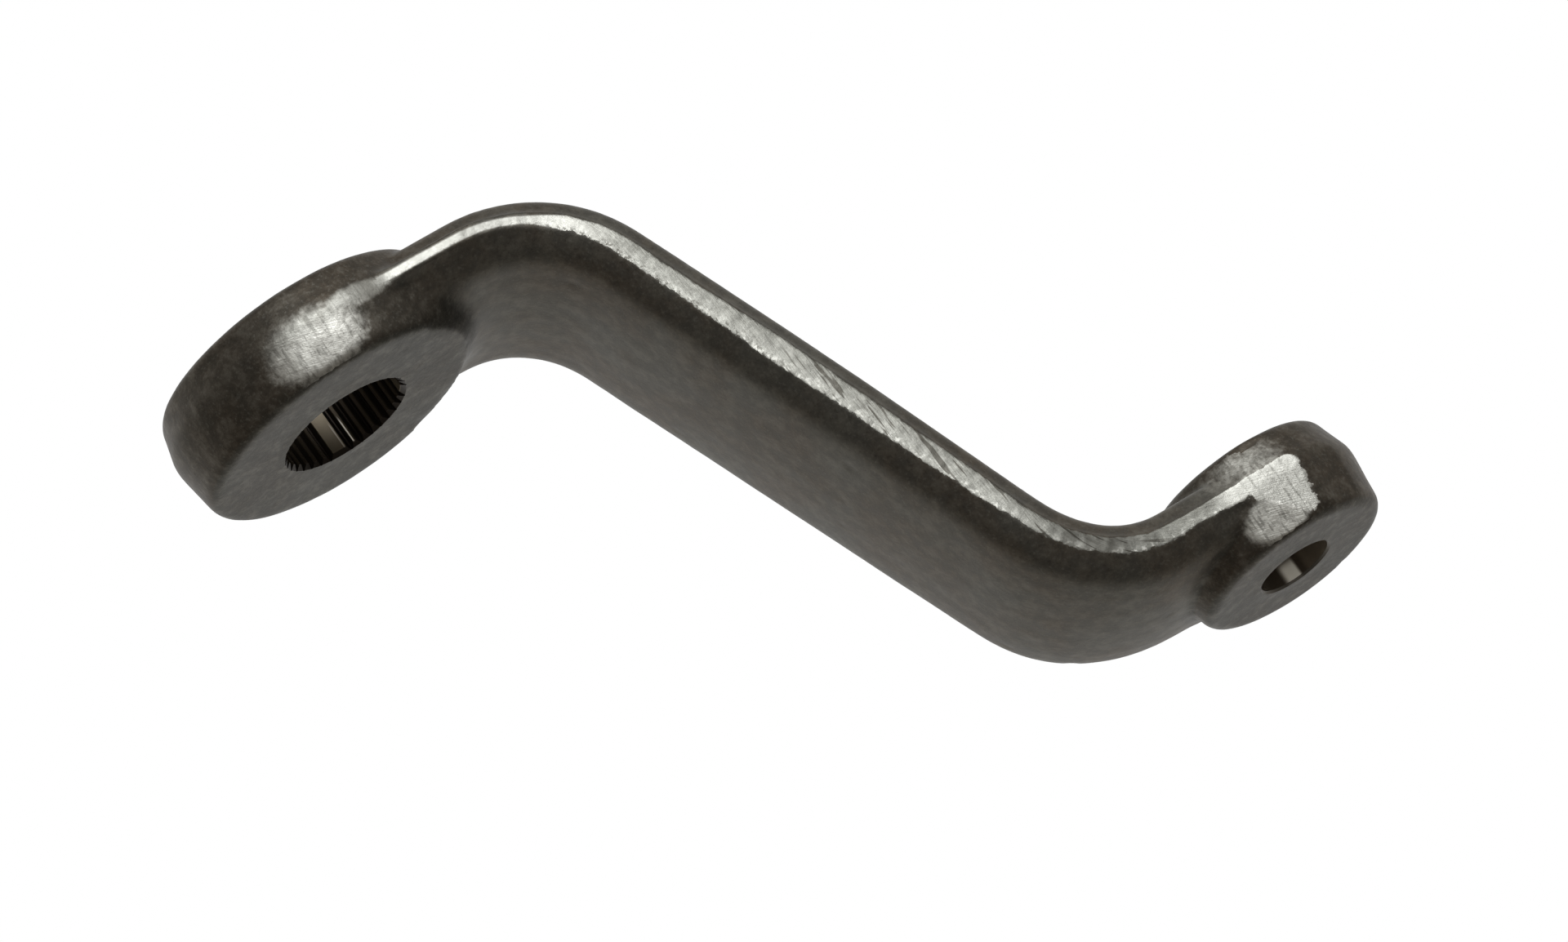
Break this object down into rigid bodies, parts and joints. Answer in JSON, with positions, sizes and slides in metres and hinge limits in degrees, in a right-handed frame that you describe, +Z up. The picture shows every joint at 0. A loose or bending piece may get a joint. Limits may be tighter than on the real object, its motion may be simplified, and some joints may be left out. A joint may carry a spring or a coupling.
{
  "type": "pitman arm",
  "caption": "Dropped forged steering arm with a serrated bore in its large eye and a tapered stud hole in its small eye, joined by a Z-bent flat shank.",
  "frame": {"origin": "on the axis of the serrated bore, halfway between the two flat faces of the large eye", "axes": "+Z up along the serrated bore, towards the steering box that its shaft comes from; +X level towards the small eye; the arm steps down towards -Z; +Y completes the right-handed set"},
  "size_m": [0.2175, 0.072, 0.1618],
  "materials": {
    "forged_steel": "bare drop-forged steel with dark scale, a ground bright flash line and machined holes"
  },
  "bodies": {
    "root": {"pitman_arm": "forged_steel"}
  },
  "joints": []
}
